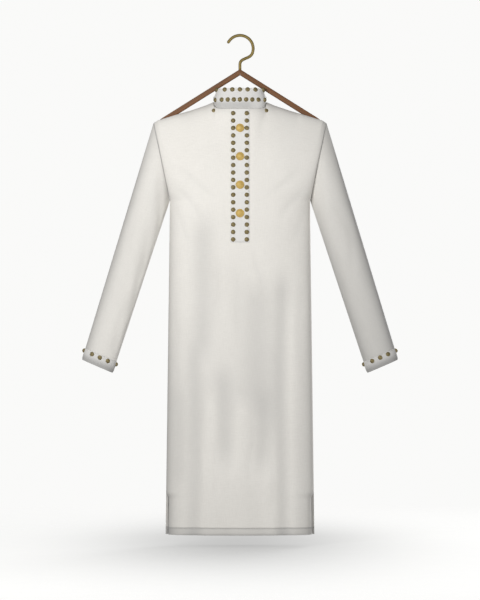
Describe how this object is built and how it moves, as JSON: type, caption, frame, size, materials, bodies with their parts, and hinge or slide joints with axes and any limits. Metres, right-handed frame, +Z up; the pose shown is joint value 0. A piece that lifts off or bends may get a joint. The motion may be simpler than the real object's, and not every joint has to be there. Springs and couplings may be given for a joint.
{
  "type": "kurta on a hanger",
  "caption": "Long-sleeved tunic with a stand collar, a beaded half placket and side slits, hanging open from a plain wooden hanger with a brass hook.",
  "frame": {"origin": "inside top of the hanger's hook, where a rail carries it", "axes": "+Z up along the hung garment, the front faces -Y, the wearer's left sleeve is at +X"},
  "size_m": [0.7908, 0.1383, 1.2505],
  "materials": {
    "cotton": "ivory plain-woven cotton with a fine slubby grain, matt",
    "cotton_trim": "ivory plain-woven cotton, interlined, with antique gold beads",
    "bead_gold": "antique gold beads, satin",
    "button_metal": "antique gold, satin",
    "hanger_wood": "walnut brown stain, satin",
    "hook_brass": "aged brass, satin"
  },
  "bodies": {
    "root": {"front": "cotton", "back": "cotton", "sleeve_left": "cotton", "sleeve_right": "cotton", "cuff_left": "cotton_trim", "cuff_right": "cotton_trim", "collar": "cotton_trim", "placket": "cotton_trim", "button_1": "button_metal", "button_2": "button_metal", "button_3": "button_metal", "button_4": "button_metal", "hanger_arm_left": "hanger_wood", "hanger_arm_right": "hanger_wood", "hanger_hook": "hook_brass"}
  },
  "joints": []
}
